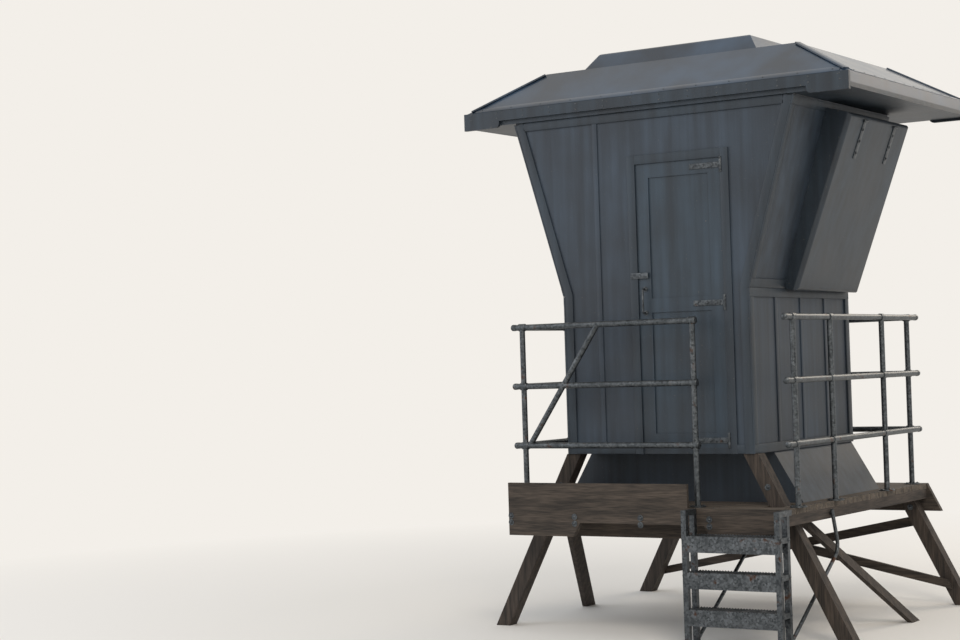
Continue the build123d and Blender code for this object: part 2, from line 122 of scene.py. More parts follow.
# Door hinges, handle and hasp, with a lip as (how much it narrows, over what length)
DOOR_STRAP_LENGTH = 0.230
DOOR_STRAP_WIDTH = 0.036
DOOR_STRAP_THICKNESS = 0.005
DOOR_STRAP_CENTRE = 0.003
DOOR_STRAP_BOLTS = (0.060, 0.130, 0.200)
DOOR_BOLT_OUT = 0.005
DOOR_KNUCKLE_RADIUS = 0.010
DOOR_KNUCKLE_LENGTH = 0.100
DOOR_HINGE_GAP = 0.004
KNUCKLE_LIP = (0.001, 0.002)
HANDLE_INSET = 0.050
HANDLE_HEIGHT = 0.980
HANDLE_BAR = 0.014
HANDLE_BAR_ROUND = 0.0069
HANDLE_LENGTH = 0.160
HANDLE_REACH = 0.042
HANDLE_BEND = 0.009
HASP_RISE = 0.170
HASP_RUN = (-0.100, 0.030)
HASP_WIDTH = 0.040
HASP_THICKNESS = 0.004
METAL_ROUND = 0.001

# Shutter strap hinges
STRAP_WIDTH = 0.045
STRAP_THICKNESS = 0.005
STRAP_LENGTH = 0.260
STRAP_BOLTS = (0.060, 0.140, 0.220)
STRAP_KNUCKLE_RADIUS = 0.011
STRAP_KNUCKLE_LENGTH = 0.060
SIDE_STRAP_DROP = 0.034
BACK_STRAP_DROP = 0.032
BACK_STRAP_X = 0.330

# Roof caps, strips and screws
HIP_WIDTH = 0.045
HIP_THICKNESS = 0.014
HIP_ROUND = 0.005
HIP_FOOT_GAP = 0.045
HIP_CROWN_GAP = 0.010
STRIP_WIDTH = 0.050
STRIP_THICKNESS = 0.004
STRIP_LIFT = 0.0016
STRIP_EAVE_GAP = 0.006
STRIP_END_GAP = 0.075
STRIP_SCREW_END = 0.050
STRIP_SCREW_COUNT = 12
FASCIA_SCREW_END = 0.060
FASCIA_SCREW_COUNT = 14
FASCIA_SCREW_DROPS = (0.014, 0.050)

# Places of the frame's and the steps' bolts
JOIST_BOLT_DROPS = (0.030, 0.075)
LEG_BOLT_BELOW_DECK = 0.060
LEG_BOLT_ABOVE_DECK = 0.120
BACK_LEG_BOLT_DROPS = (0.070, 0.130)
TREAD_BOLT_DROP = 0.025
TREAD_BOLT_INSET = 0.0175
FOOT_BOLT_INSET = 0.020

# Rail collars, end caps and flange bolts; a cap turns in at a share of the rail's radius and its own height
COLLAR_RADIUS = 0.0255
COLLAR_LENGTH = 0.055
COLLAR_LIP = (0.003, 0.004)
CAP_WALL = 0.002
CAP_SLEEVE = 0.025
CAP_SHOULDER = 0.002
CAP_DOME = 0.012
CAP_TURN = 0.75
CAP_CROWN_RADIUS = 0.004
FLANGE_BOLT_CIRCLE = 0.040

# Steps round the round pieces, and the angle in degrees from which an edge is drawn sharp
ROUND_STEPS = 20
BOLT_STEPS = 12
SCREW_STEPS = 8
SHARP_ANGLE = 35

# Backdrop and floor
PALE = "#f3efe9"
SKY = "#eef1f5"
SKY_STRENGTH = 0.85
FLOOR_HALF_SIZE = 60.0
FLOOR_FADE = (3.5, 9.0)


def add_camera():
    """Puts the camera at the photograph's viewpoint: yaw and pitch give its axis, roll turns it round."""
    yaw, pitch, roll = (math.radians(angle) for angle in (CAMERA_YAW, CAMERA_PITCH, CAMERA_ROLL))
    forward = Vector((-math.sin(yaw) * math.cos(pitch), math.cos(yaw) * math.cos(pitch), math.sin(pitch)))
    level = Vector((math.cos(yaw), math.sin(yaw), 0.0))
    upright = level.cross(forward)
    right = level * math.cos(roll) + upright * math.sin(roll)
    up = upright * math.cos(roll) - level * math.sin(roll)
    data = bpy.data.cameras.new("camera")
    data.sensor_width = SENSOR_WIDTH
    data.lens = FOCAL_PIXELS / PHOTO_WIDTH * SENSOR_WIDTH
    data.clip_end = CAMERA_FAR_LIMIT
    camera = bpy.data.objects.new("camera", data)
    turn = Matrix((right, up, -forward)).transposed().to_4x4()
    camera.matrix_world = Matrix.Translation(CAMERA_PLACE) @ turn
    bpy.context.scene.collection.objects.link(camera)
    bpy.context.scene.camera = camera


add_camera()
bpy.context.scene.view_settings.view_transform = "Standard"


# Materials, with their patterns' scales in patterns to the metre
def linear(hex_colour):
    """Turns an sRGB hex value into linear red, green, blue and alpha."""
    channels = [int(hex_colour[i : i + 2], 16) / 255 for i in (1, 3, 5)]
    return tuple(c / 12.92 if c <= 0.04045 else ((c + 0.055) / 1.055) ** 2.4 for c in channels) + (1.0,)


def join(tree, target, links):
    """Joins other nodes' outputs to a node's inputs, by the inputs' names or numbers."""
    for key, output in links.items():
        tree.links.new(output, target.inputs[key])


def node(tree, kind, links, stops=(), **settings):
    """Adds a node, sets its own properties, input values and colour stops, and joins outputs to its inputs.

    A setting whose name the node doesn't know is an input's value, with _ for a space in the input's name.
    """
    new = tree.nodes.new(kind)
    for key, value in settings.items():
        if hasattr(new, key):
            setattr(new, key, value)
        else:
            new.inputs[key.replace("_", " ")].default_value = value
    for number, (position, colour) in enumerate(stops):
        new.color_ramp.elements[number].position = position
        new.color_ramp.elements[number].color = linear(colour)
    join(tree, new, links)
    return new


def start_material(name):
    """Makes a material and gives back its tree, its shader and the piece's own coordinates in metres."""
    material = bpy.data.materials.new(name)
    material.use_nodes = True
    tree = material.node_tree
    shader = tree.nodes["Principled BSDF"]
    place = node(tree, "ShaderNodeTexCoord", {}).outputs["Object"]
    return material, tree, shader, place


def spotted(tree, ground, spots, low, high, spot_colour):
    """Lays a colour over the ground where the spots' value passes from low to high."""
    edge = node(tree, "ShaderNodeValToRGB", {"Fac": spots}, stops=[(low, "#000000"), (high, "#ffffff")])
    mixed = node(tree, "ShaderNodeMix", {0: edge.outputs["Color"], 6: ground}, data_type="RGBA")
    mixed.inputs[7].default_value = linear(spot_colour)
    return mixed.outputs[2]


def painted_plywood(name, base, faded, worn, gloss=0.5):
    """Brush-painted plywood: the grain just shows, rain streaks fade it, and chips wear it."""
    material, tree, shader, place = start_material(name)
    # Rain streaks, 62 mm apart and about 1.1 m long down the wall
    down = node(tree, "ShaderNodeMapping", {"Vector": place}, Scale=(16, 16, 0.9)).outputs["Vector"]
    streak = node(tree, "ShaderNodeTexNoise", {"Vector": down}, Scale=1.0, Detail=6.0).outputs["Fac"]
    # Broad clouds of fading, 500 mm across
    cloud = node(tree, "ShaderNodeTexNoise", {"Vector": place}, Scale=2.0, Detail=4.0).outputs["Fac"]
    # Veneer grain up the sheet, a line each 4.5 mm, which is coarser than real so that it shows
    lines = node(tree, "ShaderNodeMapping", {"Vector": place}, Scale=(220, 220, 7)).outputs["Vector"]
    grain = node(tree, "ShaderNodeTexNoise", {"Vector": lines}, Scale=1.0, Detail=3.0).outputs["Fac"]
    # Chips and scuffs, 12 mm across
    flakes = node(tree, "ShaderNodeTexNoise", {"Vector": place}, Scale=85.0, Detail=5.0, Roughness=0.65)
    chip = flakes.outputs["Fac"]
    fade = node(tree, "ShaderNodeMath", {0: streak, 1: cloud}, operation="MULTIPLY").outputs[0]
    paint = node(tree, "ShaderNodeValToRGB", {"Fac": fade}, stops=[(0.14, base), (0.42, faded)])
    rough = node(tree, "ShaderNodeMapRange", {"Value": cloud}, To_Min=gloss - 0.08, To_Max=gloss + 0.14)
    height = node(tree, "ShaderNodeMath", {0: grain, 1: chip}, operation="ADD").outputs[0]
    bump = node(tree, "ShaderNodeBump", {"Height": height}, Strength=0.25, Distance=0.0012)
    worn_paint = spotted(tree, paint.outputs["Color"], chip, 0.66, 0.74, worn)
    join(tree, shader, {"Base Color": worn_paint, "Roughness": rough.outputs["Result"]})
    join(tree, shader, {"Normal": bump.outputs["Normal"]})
    return material


def weathered_timber(name, dark, light, along):
    """Rough-sawn timber left outdoors: grain lines along the timber, silvered high spots and dark checks."""
    material, tree, shader, place = start_material(name)
    # Grain lines 7 mm apart and 110 mm long, which is coarser than real so that they show
    fine = tuple(9 if axis == along else 150 for axis in "XYZ")
    lines = node(tree, "ShaderNodeMapping", {"Vector": place}, Scale=fine).outputs["Vector"]
    grain = node(tree, "ShaderNodeTexNoise", {"Vector": lines}, Scale=1.0, Detail=5.0).outputs["Fac"]
    # Bands of darker and lighter wood, 36 mm wide and 400 mm long
    coarse = tuple(2.5 if axis == along else 28 for axis in "XYZ")
    bands = node(tree, "ShaderNodeMapping", {"Vector": place}, Scale=coarse).outputs["Vector"]
    band = node(tree, "ShaderNodeTexNoise", {"Vector": bands}, Scale=1.0, Detail=3.0).outputs["Fac"]
    tone = node(tree, "ShaderNodeMath", {0: grain, 1: band}, operation="MULTIPLY").outputs[0]
    wood = node(tree, "ShaderNodeValToRGB", {"Fac": tone}, stops=[(0.12, dark), (0.40, light)])
    bump = node(tree, "ShaderNodeBump", {"Height": grain}, Strength=0.5, Distance=0.002)
    shader.inputs["Roughness"].default_value = 0.82
    join(tree, shader, {"Base Color": wood.outputs["Color"], "Normal": bump.outputs["Normal"]})
    return material


def galvanised_steel(name, dark, light, rust):
    """Hot-dip galvanised steel: dull spangle, darkened by salt, with pin-points of rust."""
    material, tree, shader, place = start_material(name)
    # Spangle crystals 12 mm across, and stains of salt and rust 70 mm apart
    spangle = node(tree, "ShaderNodeTexVoronoi", {"Vector": place}, Scale=80.0).outputs["Color"]
    stain = node(tree, "ShaderNodeTexNoise", {"Vector": place}, Scale=14.0, Detail=6.0).outputs["Fac"]
    tone = node(tree, "ShaderNodeMath", {0: spangle, 1: stain}, operation="MULTIPLY").outputs[0]
    zinc = node(tree, "ShaderNodeValToRGB", {"Fac": tone}, stops=[(0.05, dark), (0.55, light)])
    rough = node(tree, "ShaderNodeMapRange", {"Value": tone}, To_Min=0.38, To_Max=0.6)
    bump = node(tree, "ShaderNodeBump", {"Height": stain}, Strength=0.15, Distance=0.001)
    rusted = spotted(tree, zinc.outputs["Color"], stain, 0.63, 0.72, rust)
    shader.inputs["Metallic"].default_value = 0.85
    join(tree, shader, {"Base Color": rusted, "Roughness": rough.outputs["Result"]})
    join(tree, shader, {"Normal": bump.outputs["Normal"]})
    return material


def roof_coating(name, base, faded):
    """Sprayed gel-coat on the roof: smooth and glossy, slightly orange-peeled, with chalky run-off marks."""
    material, tree, shader, place = start_material(name)
    # Chalky marks 330 mm across, and orange peel of 8 mm, which is coarser than real so that it shows
    chalk = node(tree, "ShaderNodeTexNoise", {"Vector": place}, Scale=3.0, Detail=7.0).outputs["Fac"]
    peel = node(tree, "ShaderNodeTexNoise", {"Vector": place}, Scale=120.0, Detail=2.0).outputs["Fac"]
    coat = node(tree, "ShaderNodeValToRGB", {"Fac": chalk}, stops=[(0.35, base), (0.72, faded)])
    rough = node(tree, "ShaderNodeMapRange", {"Value": chalk}, To_Min=0.2, To_Max=0.46)
    bump = node(tree, "ShaderNodeBump", {"Height": peel}, Strength=0.08, Distance=0.001)
    shader.inputs["Coat Weight"].default_value = 0.35
    join(tree, shader, {"Base Color": coat.outputs["Color"], "Roughness": rough.outputs["Result"]})
    join(tree, shader, {"Normal": bump.outputs["Normal"]})
    return material


WALL = painted_plywood("painted_plywood_walls", "#222a33", "#36424f", "#6a6458")
SHUTTER = painted_plywood("painted_plywood_shutters", "#1b232b", "#2c3843", "#6a6458", gloss=0.42)
DOOR = painted_plywood("painted_door", "#1e2831", "#31404d", "#70695c", gloss=0.42)
TRIM = painted_plywood("painted_trim_boards", "#1c242c", "#2d3944", "#766f62", gloss=0.48)
PLINTH = painted_plywood("painted_plywood_plinth", "#20272f", "#343f4a", "#6a6458", gloss=0.55)
LEG = weathered_timber("weathered_leg_timber", "#1d1916", "#4a4038", "Z")
BEAM = weathered_timber("weathered_beam_timber", "#1f1b17", "#50463d", "X")
JOIST = weathered_timber("weathered_joist_timber", "#1d1916", "#4a4038", "Y")
PLANK = weathered_timber("weathered_deck_planks", "#2a2520", "#655a4e", "X")
PIPE = galvanised_steel("galvanised_pipe", "#3a3e41", "#6a6f73", "#4a3326")
TUBE = galvanised_steel("galvanised_square_tube", "#383c40", "#666b6f", "#4a3326")
GRATING = galvanised_steel("galvanised_toothed_plate", "#3c4043", "#70757a", "#4a3326")
ROOF = roof_coating("gel_coated_roof", "#1b2836", "#33465a")

NODE_FINISH = {
    "leg": LEG,
    "raking": LEG,
    "cross": BEAM,
    "front_bearer": BEAM,
    "deck_beam": BEAM,
    "deck_joists": JOIST,
    "deck_boards": PLANK,
    "toe": BEAM,
    "plinth": PLINTH,
    "cabin_floor": TRIM,
    "front_wall": WALL,
    "back_wall": WALL,
    "left_lower": WALL,
    "right_lower": WALL,
    "left_upper": WALL,
    "right_upper": WALL,
    "left_shutter": SHUTTER,
    "right_shutter": SHUTTER,
    "back_shutter": SHUTTER,
    "door": DOOR,
    "roof_soffit": TRIM,
    "roof_fascia": TRIM,
    "roof_shell": ROOF,
    "roof_cap": ROOF,
    "railing": PIPE,
    "step_stays": PIPE,
    "step_side": TUBE,
    "tread": GRATING,
}


def dress_nodes():
    """Gives every CAD node the finish whose key starts its name."""
    for name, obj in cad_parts.items():
        finish = next(m for key, m in NODE_FINISH.items() if name.startswith(key))
        obj.data.materials.clear()
        obj.data.materials.append(finish)


dress_nodes()


# Shapes, worked out as whole arrays
def rounded_section(width, height, radius, steps=3):
    """Outline of a board's end, width by height, centred on zero, with a quarter circle at each corner.

    Each point is its corner circle's centre plus the radius times the cosine and sine of its angle.
    """
    turn = np.linspace(0, np.pi / 2, steps)
    corner = np.arange(4)[:, None] * np.pi / 2
    angle = (corner + turn).ravel()
    sign_x = np.repeat([1, -1, -1, 1], steps)
    sign_y = np.repeat([1, 1, -1, -1], steps)
    x = sign_x * (width / 2 - radius) + radius * np.cos(angle)
    y = sign_y * (height / 2 - radius) + radius * np.sin(angle)
    return np.stack([x, y], 1)


def carried(section, path, across):
    """A closed section carried along straight runs: point = path + section x * across + section y * up.

    Across is fixed and square to every run, and up is a run's direction crossed with it. At a corner, up is
    the sum of the two runs' ups times 2 over its length squared, which mitres the section.
    """
    path = np.asarray(path, float)
    across = np.asarray(across, float) / np.linalg.norm(across)
    runs = np.diff(path, axis=0)
    runs /= np.linalg.norm(runs, axis=1)[:, None]
    ups = np.cross(runs, across)
    sums = np.concatenate([2 * ups[:1], ups[:-1] + ups[1:], 2 * ups[-1:]])
    ups_at = 2 * sums / (sums**2).sum(axis=1)[:, None]
    points = path[:, None] + section[None, :, :1] * across + section[None, :, 1:] * ups_at[:, None]
    return closed_tube(points)


def closed_tube(rings):
    """Faces between successive rings of points, and a face over the first and the last ring.

    Gives the points, the corners of all faces in one row, and each face's number of corners.
    """
    count, around = rings.shape[:2]
    ring, step = np.meshgrid(np.arange(count - 1), np.arange(around), indexing="ij")
    here = ring * around + step
    beside = ring * around + (step + 1) % around
    quads = np.stack([here, beside, beside + around, here + around], -1).reshape(-1, 4)
    end = np.arange(around)
    corners = np.concatenate([quads.ravel(), end[::-1], end + (count - 1) * around])
    sizes = np.append(np.full(len(quads), 4), [around, around])
    return rings.reshape(-1, 3), corners, sizes


def turned(profile, foot, axis, steps=ROUND_STEPS):
    """A turned piece: point = foot + height * axis + radius * (cosine * side + sine * front).

    The profile is a list of (radius, height), and side and front are square to the axis and each other.
    """
    axis = np.asarray(axis, float) / np.linalg.norm(axis)
    guide = np.array([0.0, 0.0, 1.0]) if abs(axis[2]) < 0.9 else np.array([1.0, 0.0, 0.0])
    side = np.cross(guide, axis)
    side /= np.linalg.norm(side)
    front = np.cross(axis, side)
    angle = np.arange(steps) / steps * 2 * np.pi
    spoke = np.cos(angle)[:, None] * side + np.sin(angle)[:, None] * front
    profile = np.asarray(profile, float)
    rings = np.asarray(foot, float) + profile[:, 1, None, None] * axis + profile[:, 0, None, None] * spoke
    return closed_tube(rings)


def barrel(radius, length, lip):
    """Profile of a cylinder centred on its foot, narrowing at each end by the lip's depth over its run."""
    depth, run = lip
    half = length / 2
    return [(radius - depth, -half), (radius, run - half), (radius, half - run), (radius - depth, half)]


def bolt_head(foot, axis, size):
    """A washer with a domed bolt head on it.

    The dome is an ellipse: radius * cosine across, and radius * sine * 0.6 above the washer.
    """
    radius, washer = size
    angle = np.linspace(0, np.pi / 2 * DOME_END, 4)
    dome = np.stack([radius * np.cos(angle), WASHER_THICKNESS + radius * DOME_SHARE * np.sin(angle)], 1)
    return turned([(washer, 0), (washer, WASHER_EDGE), *dome], foot, axis, BOLT_STEPS)


def screw_head(foot, axis):
    """A pan screw head, straight to half its height and then narrowing to its crown."""
    profile = [(SCREW_RADIUS, 0), (SCREW_RADIUS, SCREW_HEIGHT / 2), (SCREW_CROWN_RADIUS, SCREW_HEIGHT)]
    return turned(profile, foot, axis, SCREW_STEPS)


def flat_bar(start, end, width, thickness, across, radius=TRIM_ROUND):
    """A straight board from start to end, its width along across and its thickness square to that."""
    return carried(rounded_section(width, thickness, radius), [start, end], across)


def merged(shapes):
    """Joins shapes into one, with each shape's corners moved past the points before it."""
    points, corners, sizes = zip(*shapes)
    starts = np.cumsum([0] + [len(group) for group in points[:-1]])
    moved = [group + start for group, start in zip(corners, starts)]
    return np.concatenate(points), np.concatenate(moved), np.concatenate(sizes)


def outward(mesh):
    """Turns every face outwards."""
    work = bmesh.new()
    work.from_mesh(mesh)
    bmesh.ops.recalc_face_normals(work, faces=work.faces)
    work.to_mesh(mesh)
    work.free()


def add_piece(name, shapes, finish, replaced=()):
    """Makes one object of the shapes, outward facing, smooth where it curves, and rides it on the tower."""
    points, corners, sizes = merged(shapes)
    mesh = bpy.data.meshes.new(name)
    mesh.vertices.add(len(points))
    mesh.vertices.foreach_set("co", points.ravel())
    mesh.loops.add(len(corners))
    mesh.loops.foreach_set("vertex_index", corners)
    mesh.polygons.add(len(sizes))
    mesh.polygons.foreach_set("loop_start", np.cumsum(sizes) - sizes)
    mesh.update(calc_edges=True)
    piece = bpy.data.objects.new(name, mesh)
    bpy.context.scene.collection.objects.link(piece)
    mesh.materials.append(finish)
    outward(mesh)
    mesh.shade_smooth()
    mesh.set_sharp_from_angle(angle=math.radians(SHARP_ANGLE))
    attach(piece, "root")
    if replaced:
        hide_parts(*replaced)


# Places read from the frame
deck_low, deck_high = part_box("deck_boards")
wall_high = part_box("right_lower_wall")[1]
end_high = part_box("back_wall")[1]
door_low, door_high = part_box("door")
shell_low, shell_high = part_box("roof_shell")
leg_low, leg_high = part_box("leg_front_right")
back_leg_low, back_leg_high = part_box("leg_back_right")
shutter_low, shutter_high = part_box("back_shutter")
cabin_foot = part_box("cabin_floor")[0].z
cabin_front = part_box("front_wall_left")[0].y
cabin_back = end_high.y
half_cabin = wall_high.x
knee = wall_high.z
wall_top = end_high.z
flare = math.atan2(end_high.x - half_cabin, wall_top - knee)
leg_slope = math.tan(math.radians(LEG_SPLAY))
leg_thickness = leg_high.x - leg_low.x - leg_high.z * leg_slope
eave_x = shell_high.x
eave_y = (shell_high.y - shell_low.y) / 2
roof_middle_y = (shell_low.y + shell_high.y) / 2
eave_z = shell_high.z - ROOF_SLOPE_HEIGHT


def wall_point(side, y, up, out):
    """A point on a flared side wall: up metres above the knee along the wall, out metres off its face."""
    x = half_cabin + up * math.sin(flare) + out * math.cos(flare)
    return np.array([side * x, y, knee + up * math.cos(flare) - out * math.sin(flare)])


def half_width(z):
    """Half width of the end walls at a height."""
    return half_cabin + max(0.0, z - knee) * math.tan(flare)


# Deck planks, laid across the tower and cut round the front legs
plank_count = int((deck_high.y - deck_low.y + PLANK_GAP) / (PLANK_WIDTH + PLANK_GAP))
plank_pitch = (deck_high.y - deck_low.y + PLANK_GAP) / plank_count
plank_width = plank_pitch - PLANK_GAP
plank_ys = deck_low.y + plank_width / 2 + np.arange(plank_count) * plank_pitch


def deck_planks():
    """Planks of equal width at a fixed pitch; those at the front legs stop at the holes round them."""
    hole_x0 = leg_low.x + (leg_high.z - deck_high.z) * leg_slope - LEG_HOLE_GAP
    hole_x1 = leg_low.x + (leg_high.z - deck_low.z) * leg_slope + leg_thickness + LEG_HOLE_GAP
    hole_y0 = leg_low.y - LEG_HOLE_GAP
    hole_y1 = leg_high.y + LEG_HOLE_GAP
    thickness = deck_high.z - deck_low.z
    z = (deck_high.z + deck_low.z) / 2
    shapes = []
    for y in plank_ys:
        runs = [(deck_low.x, deck_high.x)]
        if y - plank_width / 2 <= hole_y1 and y + plank_width / 2 >= hole_y0:
            runs = [(deck_low.x, -hole_x1), (-hole_x0, hole_x0), (hole_x1, deck_high.x)]
        for x0, x1 in runs:
            shapes.append(flat_bar((x0, y, z), (x1, y, z), plank_width, thickness, (0, 1, 0), PLANK_ROUND))
    add_piece("deck_planks", shapes, PLANK, ["deck_boards"])


def deck_screws():
    """Pairs of screws through each plank, in rows along the deck."""
    shapes = [
        screw_head((x, y + side * plank_width * DECK_SCREW_SHARE, deck_high.z), (0, 0, 1))
        for y in plank_ys
        for x in DECK_SCREW_XS
        for side in (-1, 1)
    ]
    add_piece("deck_screws", shapes, TUBE)


deck_planks()
deck_screws()


# Trim on the cabin
def corner_trim():
    """Boards on the end walls' slanting and upright edges, and along their heads and feet."""
    shapes = []
    section = rounded_section(TRIM_THICKNESS, TRIM_WIDTH, TRIM_ROUND)
    inset = TRIM_WIDTH / 2
    for face_y, out in ((cabin_front, -1), (cabin_back, 1)):
        y = face_y + out * TRIM_THICKNESS / 2
        for side in (-1, 1):
            foot = (side * (half_cabin - inset), y, cabin_foot)
            bend = (side * (half_cabin - inset), y, knee + inset * math.tan(flare / 2))
            z = wall_top - inset * math.sin(flare)
            head = (side * (half_width(z) - inset / math.cos(flare)), y, z)
            shapes.append(carried(section, [foot, bend, head], (0, 1, 0)))
        reach = half_cabin - TRIM_WIDTH
        runs = [(-reach, reach)]
        if out < 0:
            runs = [(-reach, door_low.x - TRIM_WIDTH), (door_high.x + TRIM_WIDTH, reach)]
        z = cabin_foot + inset
        for x0, x1 in runs:
            shapes.append(carried(section, [(x0, y, z), (x1, y, z)], (0, 1, 0)))
        z = wall_top - inset
        reach = half_width(z) - TRIM_WIDTH
        shapes.append(carried(section, [(-reach, y, z), (reach, y, z)], (0, 1, 0)))
    add_piece("end_wall_trim", shapes, TRIM)


def side_trim():
    """Boards along the edges of the side walls' lower part and of their flared part.

    The flared part has none at its sea-side edge.
    """
    shapes = []
    y0 = cabin_front - TRIM_THICKNESS
    y1 = cabin_back + TRIM_THICKNESS
    inset = TRIM_WIDTH / 2
    slope_top = (wall_top - knee) / math.cos(flare)
    for side in (-1, 1):
        x = side * (half_cabin + TRIM_THICKNESS / 2)
        for z in (cabin_foot + inset, knee - inset):
            shapes.append(flat_bar((x, y0, z), (x, y1, z), TRIM_WIDTH, TRIM_THICKNESS, (0, 0, 1)))
        for y in (y0 + inset, y1 - inset):
            foot = (x, y, cabin_foot + TRIM_WIDTH)
            head = (x, y, knee - TRIM_WIDTH)
            shapes.append(flat_bar(foot, head, TRIM_WIDTH, TRIM_THICKNESS, (0, 1, 0)))
        along_wall = (side * math.sin(flare), 0, math.cos(flare))
        for up in (inset + KNEE_TRIM_GAP, slope_top - inset - EAVE_TRIM_GAP):
            near, far = (wall_point(side, y, up, TRIM_THICKNESS / 2) for y in (y0, y1))
            shapes.append(flat_bar(near, far, TRIM_WIDTH, TRIM_THICKNESS, along_wall))
        low = TRIM_WIDTH + KNEE_TRIM_GAP + TRIM_JOINT
        high = slope_top - TRIM_WIDTH - EAVE_TRIM_GAP - TRIM_JOINT
        foot, head = (wall_point(side, y0 + inset, up, TRIM_THICKNESS / 2) for up in (low, high))
        shapes.append(flat_bar(foot, head, TRIM_WIDTH, TRIM_THICKNESS, (0, 1, 0)))
    add_piece("side_wall_trim", shapes, TRIM)


def wall_battens():
    """Cover strips over the plywood's joints: three on each side wall and the sea wall, one by the door."""
    shapes = []
    low = cabin_foot + TRIM_WIDTH
    places = np.array([-1, 0, 1]) * BATTEN_PITCH
    for side in (-1, 1):
        x = side * (half_cabin + BATTEN_CENTRE)
        for y in (cabin_front + cabin_back) / 2 + places:
            head = (x, y, knee - TRIM_WIDTH)
            shapes.append(flat_bar((x, y, low), head, BATTEN_WIDTH, BATTEN_THICKNESS, (0, 1, 0)))
    land = (cabin_front - BATTEN_CENTRE, wall_top - TRIM_WIDTH, [LAND_BATTEN_X])
    sea = (cabin_back + BATTEN_CENTRE, shutter_low.z, places)
    for y, high, xs in (land, sea):
        for x in xs:
            shapes.append(flat_bar((x, y, low), (x, y, high), BATTEN_WIDTH, BATTEN_THICKNESS, (1, 0, 0)))
    add_piece("wall_battens", shapes, WALL)


corner_trim()
side_trim()
wall_battens()


# Door furniture
def door_casing():
    """A board on each side of the doorway and one over it, planted on the wall's face."""
    y = cabin_front - TRIM_THICKNESS / 2
    left, right, head = door_low.x, door_high.x, door_high.z
    shapes = [
        flat_bar((x, y, cabin_foot), (x, y, head + TRIM_WIDTH), TRIM_WIDTH, TRIM_THICKNESS, (1, 0, 0))
        for x in (left - TRIM_WIDTH / 2, right + TRIM_WIDTH / 2)
    ]
    z = head + TRIM_WIDTH / 2
    shapes.append(flat_bar((left, y, z), (right, y, z), TRIM_WIDTH, TRIM_THICKNESS, (0, 0, 1)))
    add_piece("door_casing", shapes, TRIM)


def door_hinges():
    """Three strap hinges: a knuckle turned about the leaf's edge and a bolted strap along the rail."""
    shapes = []
    x = door_high.x + DOOR_HINGE_GAP
    y = cabin_front - DOOR_STRAP_CENTRE
    knuckle = barrel(DOOR_KNUCKLE_RADIUS, DOOR_KNUCKLE_LENGTH, KNUCKLE_LIP)
    for z in (door_low.z + DOOR_RAIL / 2, (door_low.z + door_high.z) / 2, door_high.z - DOOR_RAIL / 2):
        shapes.append(turned(knuckle, (x, cabin_front - DOOR_KNUCKLE_RADIUS, z), (0, 0, 1)))
        start, end = (x - DOOR_STRAP_LENGTH, y, z), (x, y, z)
        shapes.append(flat_bar(start, end, DOOR_STRAP_WIDTH, DOOR_STRAP_THICKNESS, (0, 0, 1), METAL_ROUND))
        for run in DOOR_STRAP_BOLTS:
            shapes.append(bolt_head((x - run, cabin_front - DOOR_BOLT_OUT, z), (0, -1, 0), DOOR_BOLT))
    add_piece("door_hinges", shapes, TUBE)


def door_latch():
    """A pull handle of round bar on two feet, and a hasp plate above it that reaches over the casing."""
    x = door_low.x + HANDLE_INSET
    z = door_low.z + HANDLE_HEIGHT
    half = HANDLE_LENGTH / 2
    bar = rounded_section(HANDLE_BAR, HANDLE_BAR, HANDLE_BAR_ROUND, 5)
    bend = [(0, half), (HANDLE_REACH - HANDLE_BEND, half), (HANDLE_REACH, half - HANDLE_BEND)]
    bend += [(out, -up) for out, up in reversed(bend)]
    handle = carried(bar, [(x, cabin_front - out, z - up) for out, up in bend], (1, 0, 0))
    feet = [bolt_head((x, cabin_front, z + up), (0, -1, 0), HANDLE_FOOT) for up in (-half, half)]
    plate_y = cabin_front - TRIM_THICKNESS - HASP_THICKNESS / 2
    start, end = ((x + run, plate_y, z + HASP_RISE) for run in HASP_RUN)
    hasp = flat_bar(start, end, HASP_WIDTH, HASP_THICKNESS, (0, 0, 1), METAL_ROUND)
    add_piece("door_handle", [handle, *feet, hasp], TUBE)


door_casing()
door_hinges()
door_latch()


# Shutter furniture
def strap_hinge(top, down, out, across):
    """A strap hung from a knuckle at the shutter's top edge and bolted down its outer face."""
    top, down, out, across = (np.asarray(v, float) for v in (top, down, out, across))
    start = top + out * STRAP_THICKNESS / 2
    strap = flat_bar(start, start + down * STRAP_LENGTH, STRAP_WIDTH, STRAP_THICKNESS, across, METAL_ROUND)
    knuckle = turned(barrel(STRAP_KNUCKLE_RADIUS, STRAP_KNUCKLE_LENGTH, KNUCKLE_LIP), start, across)
    bolts = [bolt_head(top + out * STRAP_THICKNESS + down * run, out, STRAP_BOLT) for run in STRAP_BOLTS]
    return [strap, knuckle, *bolts]


def shutter_straps():
    """Two strap hinges on each shutter, down its outer face."""
    shapes = []
    right_low, right_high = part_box("right_shutter")
    middle_y = (right_low.y + right_high.y) / 2
    tilt = math.atan2(SHUTTER_LEAN, SHUTTER_HEIGHT)
    angle = flare + tilt
    for side in (-1, 1):
        up_face = np.array([side * math.sin(angle), 0, math.cos(angle)])
        out = np.array([side * math.cos(angle), 0, -math.sin(angle)])
        for off in (-SHUTTER_WIDTH / 4, SHUTTER_WIDTH / 4):
            foot = wall_point(side, middle_y + off, SHUTTER_SILL, SHUTTER_DEPTH)
            top = foot + up_face * (SHUTTER_HEIGHT / math.cos(tilt) - SIDE_STRAP_DROP)
            shapes += strap_hinge(top, -up_face, out, (0, 1, 0))
    middle_x = (shutter_low.x + shutter_high.x) / 2
    for off in (-BACK_STRAP_X, BACK_STRAP_X):
        top = (middle_x + off, shutter_high.y, shutter_high.z - BACK_STRAP_DROP)
        shapes += strap_hinge(top, (0, 0, -1), (0, 1, 0), (1, 0, 0))
    add_piece("shutter_hinges", shapes, TUBE)


